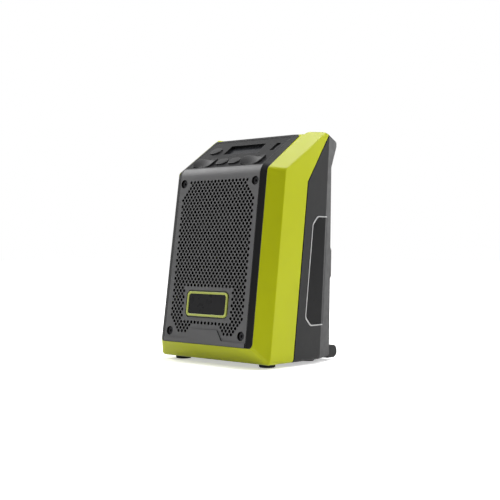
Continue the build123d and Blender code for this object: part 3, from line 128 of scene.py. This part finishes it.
def mottled(tree, source, colour, low, high):
    """Colour that wanders between two strengths with a noise."""
    return mixed(tree, spread(tree, source, 0.0, 1.0), scaled(colour, low), scaled(colour, high))


def edge_mask(tree):
    """1 along edges, where the rounded normal leaves the true one."""
    soft = tree.nodes.new("ShaderNodeBevel")
    soft.samples = EDGE_SAMPLES
    soft.inputs["Radius"].default_value = EDGE_RADIUS * MM
    plain = tree.nodes.new("ShaderNodeNewGeometry")
    cosine = dot_product(tree, soft.outputs["Normal"], plain.outputs["Normal"])
    return remap(tree, cosine, *EDGE_COSINES, 0.0, 1.0)


def facing_mask(tree, place, direction, none, full):
    """1 where the surface turns to or from a direction, by the cosines that give 0 and 1."""
    return remap(tree, dot_product(tree, place.outputs["Normal"], direction), none, full, 0.0, 1.0)


def seen_ray(tree):
    """1 for camera, glossy and transmission rays."""
    path = tree.nodes.new("ShaderNodeLightPath")
    total = path.outputs["Is Camera Ray"]
    for other in ("Is Glossy Ray", "Is Transmission Ray"):
        total = combined(tree, "MAXIMUM", total, path.outputs[other])
    return total


# ---------------------------------------------------------------- material kit
def fresh_material(name):
    """Material with a Principled shader and texture coordinates in object space."""
    material = bpy.data.materials.new(name)
    material.use_nodes = True
    tree = material.node_tree
    tree.nodes.clear()
    output = tree.nodes.new("ShaderNodeOutputMaterial")
    shader = tree.nodes.new("ShaderNodeBsdfPrincipled")
    tree.links.new(shader.outputs["BSDF"], output.inputs["Surface"])
    place = tree.nodes.new("ShaderNodeTexCoord")
    return material, tree, shader, place


def bumped(tree, shader, height, strength, depth):
    """Raises the shader's surface by a height socket; the depth is in mm."""
    bump = tree.nodes.new("ShaderNodeBump")
    bump.inputs["Strength"].default_value = strength
    bump.inputs["Distance"].default_value = depth * MM
    tree.links.new(height, bump.inputs["Height"])
    tree.links.new(bump.outputs["Normal"], shader.inputs["Normal"])


def plastic(name, colour, rough, grain=2200.0, depth=0.012, mottle=0.07, edge_highlight=0.25, specular=0.3,
            painted_shade_walls=None):
    """Moulded plastic: fine spark-eroded grain, slow mottling, a painted highlight of paler edges and, if
    given, painted shade on walls.
    """
    material, tree, shader, place = fresh_material(name)
    slow = noise(tree, place, MOTTLE_SCALE, 4.0)
    dusty = noise(tree, place, DUST_SCALE, 3.0, 0.6)
    fine = noise(tree, place, grain, 2.0, 0.6)
    tone = mottled(tree, slow, colour, 1.0 - mottle, 1.0 + mottle)
    # painted highlight: edges paled towards a light grey by the edge mask
    edge_highlight_mix = combined(tree, "MULTIPLY", edge_mask(tree), edge_highlight)
    edge_highlight_colour = tuple(part + (EDGE_HIGHLIGHT_GREY - part) * EDGE_HIGHLIGHT_SHARE for part in colour)
    surface = mixed(tree, edge_highlight_mix, tone, edge_highlight_colour)
    shader.inputs["Specular IOR Level"].default_value = specular
    if painted_shade_walls:
        # painted shade: walls picked out by their facing turn near-black and lose their gloss
        painted_shade_mask = facing_mask(tree, place, *painted_shade_walls)
        surface = mixed(tree, painted_shade_mask, surface, PAINTED_SHADE)
        tree.links.new(remap(tree, painted_shade_mask, 0.0, 1.0, specular, 0.0), shader.inputs["Specular IOR Level"])
    tree.links.new(surface, shader.inputs["Base Color"])
    tree.links.new(spread(tree, dusty, rough - PLASTIC_SWING, rough + PLASTIC_SWING),
                   shader.inputs["Roughness"])
    bumped(tree, shader, fine, PLASTIC_BUMP, depth)
    return material


def metal(name, colour, rough, grain=900.0):
    """Plated or rolled metal: fine grain and stained tone."""
    material, tree, shader, place = fresh_material(name)
    shader.inputs["Metallic"].default_value = 1.0
    slow = noise(tree, place, STAIN_SCALE, 4.0)
    fine = noise(tree, place, grain, 2.0)
    tree.links.new(mottled(tree, slow, colour, *METAL_TONES), shader.inputs["Base Color"])
    tree.links.new(spread(tree, fine, rough - METAL_SWING, rough + METAL_SWING), shader.inputs["Roughness"])
    bumped(tree, shader, fine, METAL_BUMP, METAL_DEPTH)
    return material


def cloth(name, colour, pitch, depth=0.05):
    """Woven or pressed fibre: crossed waves, at a pitch in mm, under a fibrous noise."""
    material, tree, shader, place = fresh_material(name)
    weave = []
    for axis in ("X", "Z"):
        wave = tree.nodes.new("ShaderNodeTexWave")
        wave.bands_direction = axis
        wave.inputs["Scale"].default_value = WAVE_PER_PITCH / (pitch * MM)
        wave.inputs["Distortion"].default_value = CLOTH_WARP
        tree.links.new(place.outputs["Object"], wave.inputs["Vector"])
        weave.append(wave.outputs["Fac"])
    fibre = noise(tree, place, FIBRE_SCALE, 3.0)
    tree.links.new(mottled(tree, fibre, colour, *CLOTH_TONES), shader.inputs["Base Color"])
    shader.inputs["Roughness"].default_value = CLOTH_ROUGH
    bumped(tree, shader, combined(tree, "ADD", *weave), CLOTH_BUMP, depth)
    return material


# ---------------------------------------------------------------- finishes
GREEN = (0.520, 0.562, 0.001)
DARK = (0.012, 0.012, 0.0125)
BLACK = (0.018, 0.018, 0.0185)
GREY = (0.132, 0.132, 0.134)

finishes = {
    "green": plastic("green_shell", GREEN, 0.34, grain=2600.0, depth=0.006, mottle=0.02, edge_highlight=0.10,
                     specular=0.24),
    "dark": plastic("dark_shell", DARK, 0.46, grain=1700.0, depth=0.02, edge_highlight=0.12, specular=0.22,
                    painted_shade_walls=SEAM_PAINTED_SHADE),
    "black": plastic("bezel_black", BLACK, 0.38, grain=1700.0, depth=0.015, edge_highlight=0.5, specular=0.07),
    "grey": plastic("grille_grey", GREY, 0.44, grain=2200.0, depth=0.012, mottle=0.05, edge_highlight=0.1,
                    specular=0.2, painted_shade_walls=GRILLE_PAINTED_SHADE),
    "panel": plastic("panel_grey", (0.022, 0.022, 0.023), 0.30, grain=2200.0, depth=0.010, edge_highlight=0.5,
                     specular=0.05),
    "key": plastic("key_black", (0.020, 0.020, 0.021), 0.20, grain=3000.0, depth=0.004, edge_highlight=0.5,
                   specular=0.12),
    "plaque": plastic("plaque_dark", (0.006, 0.006, 0.0065), 0.32, grain=2600.0, depth=0.006, edge_highlight=0.05,
                      specular=0.10),
    "trim": plastic("plaque_light", (0.52, 0.52, 0.52), 0.40, depth=0.005),
    "badge_ring": plastic("badge_green", (0.52, 0.58, 0.12), 0.30, depth=0.004, mottle=0.02),
    "badge": plastic("badge_black", (0.014, 0.014, 0.015), 0.30, depth=0.004, specular=0.12),
    "window": plastic("window", (0.016, 0.017, 0.020), 0.22, grain=900.0, depth=0.001, edge_highlight=0.1,
                      specular=0.08),
    "nylon": plastic("cream_plastic", (0.55, 0.52, 0.44), 0.5),
    "chip": plastic("chip_black", (0.02, 0.02, 0.02), 0.5),
    "board": plastic("board_green", (0.02, 0.10, 0.04), 0.35, grain=700.0),
    "rubber": plastic("black_rubber", (0.022, 0.022, 0.022), 0.75, grain=1500.0, depth=0.03, edge_highlight=0.1),
    "lead_red": plastic("lead_red", (0.40, 0.02, 0.02), 0.42),
    "lead_black": plastic("lead_black", (0.02, 0.02, 0.02), 0.42),
    "lead_grey": plastic("lead_grey", (0.22, 0.22, 0.22), 0.5),
    "ferrite": plastic("ferrite", (0.045, 0.045, 0.05), 0.6, grain=1200.0, depth=0.03),
    "steel": metal("zinc_steel", (0.56, 0.57, 0.58), 0.32),
    "black_steel": metal("black_steel", (0.035, 0.035, 0.037), 0.34),
    "aluminium": metal("aluminium", (0.78, 0.79, 0.80), 0.3),
    "brass": metal("tinned_brass", (0.72, 0.60, 0.36), 0.28),
    "copper": metal("copper_wire", (0.72, 0.32, 0.14), 0.3),
    "dust": cloth("dust_cloth", (0.001, 0.001, 0.001), 0.35),
    "spider": cloth("spider_cloth", (0.42, 0.28, 0.10), 0.6),
    "paper": cloth("cone_paper", (0.018, 0.018, 0.019), 0.5),
}

wearing = {
    "green": ["mid_frame"],
    "dark": ["rear_housing", "battery_socket"],
    "black": ["front_bezel"],
    "grey": ["speaker_grille"],
    "panel": ["control_panel"],
    "key": ["preset_button_1", "preset_button_2", "power_button", "mode_button",
            "volume_rocker", "tuning_rocker"],
    "plaque": ["side_plaque_left", "side_plaque_right"],
    "trim": ["plaque_trims"],
    "badge_ring": ["badge_surround"],
    "badge": ["badge_plate"],
    "window": ["display_window", "display_module"],
    "nylon": ["panel_connector", "terminal_block", "board_connectors"],
    "chip": ["board_chips", "capacitors"],
    "board": ["control_board", "main_board"],
    "rubber": ["feet", "housing_gasket", "speaker_gasket", "speaker_surround"],
    "lead_red": ["battery_leads"],
    "lead_black": ["speaker_leads", "antenna_lead"],
    "lead_grey": ["panel_cable"],
    "ferrite": ["speaker_magnet", "ferrite_rod"],
    "steel": ["housing_screws", "key_switches", "control_board_screws", "magnet_top_plate", "magnet_yoke",
              "speaker_screws", "main_board_screws", "tuner_module"],
    "black_steel": ["grille_screws", "speaker_basket", "socket_screws"],
    "aluminium": ["heat_sink"],
    "brass": ["speaker_terminals", "battery_contacts"],
    "copper": ["voice_coil", "antenna_coil"],
    "dust": ["dust_mesh"],
    "spider": ["speaker_spider"],
    "paper": ["speaker_cone", "dust_cap"],
}
for finish, names in wearing.items():
    for name in names:
        NODES[name].data.materials.clear()
        NODES[name].data.materials.append(finishes[finish])
undressed = sorted(set(NODES) - {name for names in wearing.values() for name in names})
assert not undressed, undressed


# ---------------------------------------------------------------- softened edges
WELD_DISTANCE = 0.002                          # mm
SHARP_ANGLE = radians(24.0)


def soften(name, width, segments=3):
    """Rounds the edges of a CAD node with modifiers, its mesh left as it is; the width is in mm."""
    node = NODES[name]
    weld = node.modifiers.new("weld", "WELD")
    weld.merge_threshold = WELD_DISTANCE * MM
    bevel = node.modifiers.new("soft_edges", "BEVEL")
    bevel.width = width * MM
    bevel.segments = segments
    bevel.limit_method = "ANGLE"
    bevel.angle_limit = SHARP_ANGLE
    bevel.use_clamp_overlap = True
    bevel.harden_normals = True
    node.data.shade_smooth()


for name in wearing["key"]:
    soften(name, 0.35)
soften("badge_surround", 0.2, 2)
soften("feet", 0.5)


# ---------------------------------------------------------------- floor
FLOOR_SIZE = 8.0
FLOOR_WHITE = (0.88, 0.88, 0.88, 1.0)
LIFT_REACH = (0.3, 1.3)                        # metres from the middle
LIFT = (0.5, 1.0)                              # glow there: low by the object, for its shadow

bpy.ops.mesh.primitive_plane_add(size=FLOOR_SIZE, location=(0, 0, 0))
floor = bpy.context.object
floor.name = "floor"
paper = bpy.data.materials.new("floor_white")
paper.use_nodes = True
tree = paper.node_tree
tree.nodes.clear()
output = tree.nodes.new("ShaderNodeOutputMaterial")
matt = tree.nodes.new("ShaderNodeBsdfDiffuse")
matt.inputs["Color"].default_value = FLOOR_WHITE
glow = tree.nodes.new("ShaderNodeEmission")
place = tree.nodes.new("ShaderNodeTexCoord")
distance = tree.nodes.new("ShaderNodeVectorMath")
distance.operation = "LENGTH"
tree.links.new(place.outputs["Object"], distance.inputs[0])
farther = remap(tree, distance.outputs["Value"], *LIFT_REACH, *LIFT)
tree.links.new(combined(tree, "MULTIPLY", seen_ray(tree), farther), glow.inputs["Strength"])
both = tree.nodes.new("ShaderNodeAddShader")
tree.links.new(matt.outputs["BSDF"], both.inputs[0])
tree.links.new(glow.outputs["Emission"], both.inputs[1])
tree.links.new(both.outputs["Shader"], output.inputs["Surface"])
floor.data.materials.append(paper)


# ---------------------------------------------------------------- lights
OBJECT_MIDDLE = (0, 0, 0.1)
SOFTBOXES = (
    # name, place and aim in metres, width and height in metres, power in watts
    ("top_box", (0.08, 0.30, 1.20), OBJECT_MIDDLE, 0.7, 0.7, 12.5),
    ("left_box", (-0.90, -0.28, 0.85), OBJECT_MIDDLE, 0.6, 0.6, 11.0),
    ("right_box", (0.75, 0.62, 0.80), OBJECT_MIDDLE, 0.8, 0.8, 7.2),
    ("low_card", (0.42, 0.40, 0.06), (0.06, 0.01, 0.06), 0.55, 0.14, 0.05),
    ("back_box", (0.15, 1.10, 0.30), OBJECT_MIDDLE, 0.5, 0.5, 1.6),
)
for name, spot, aim, width, height, power in SOFTBOXES:
    light = bpy.data.lights.new(name, "AREA")
    light.shape = "RECTANGLE"
    light.size = width
    light.size_y = height
    light.energy = power
    lamp = bpy.data.objects.new(name, light)
    lamp.location = spot
    lamp.rotation_euler = (Vector(aim) - Vector(spot)).to_track_quat("-Z", "Y").to_euler()
    bpy.context.scene.collection.objects.link(lamp)


# ---------------------------------------------------------------- world
# White backdrop low behind the object, dim in front and above; plain white where it is seen.
BACKDROP_START, BACKDROP_FULL, BACKDROP = 0.45, 0.95, 0.8      # by the direction's Y
FADE_START, FADE_END, FADED = 0.20, 0.60, 0.15                 # by its Z
ROOM = 0.04
SEEN_WHITE = 1.0

world = bpy.data.worlds.new("studio")
bpy.context.scene.world = world
world.use_nodes = True
tree = world.node_tree
tree.nodes.clear()
output = tree.nodes.new("ShaderNodeOutputWorld")
place = tree.nodes.new("ShaderNodeTexCoord")
apart = tree.nodes.new("ShaderNodeSeparateXYZ")
tree.links.new(place.outputs["Generated"], apart.inputs["Vector"])
behind = remap(tree, apart.outputs["Y"], BACKDROP_START, BACKDROP_FULL, 0.0, BACKDROP, smooth=True)
low_down = remap(tree, apart.outputs["Z"], FADE_START, FADE_END, 1.0, FADED, smooth=True)
strength = tree.nodes.new("ShaderNodeMix")
tree.links.new(seen_ray(tree), strength.inputs[MIX_FACTOR])
tree.links.new(combined(tree, "MULTIPLY_ADD", behind, low_down, ROOM), strength.inputs[MIX_NUMBERS[0]])
strength.inputs[MIX_NUMBERS[1]].default_value = SEEN_WHITE
room = tree.nodes.new("ShaderNodeBackground")
room.inputs["Color"].default_value = (1.0, 1.0, 1.0, 1.0)
tree.links.new(strength.outputs[NUMBER_OUT], room.inputs["Strength"])
tree.links.new(room.outputs["Background"], output.inputs["Surface"])


# ---------------------------------------------------------------- camera
view = bpy.data.cameras.new("camera")
view.lens = 72.0
view.sensor_width = 36.0
view.shift_x = 0.0224
view.shift_y = -0.0137
camera = bpy.data.objects.new("camera", view)
camera.location = (0.5524, -0.6018, 0.095)
camera.rotation_euler = (radians(90.0), 0.0, radians(43.0))
bpy.context.scene.collection.objects.link(camera)
bpy.context.scene.camera = camera
bpy.context.scene.view_settings.view_transform = "Standard"
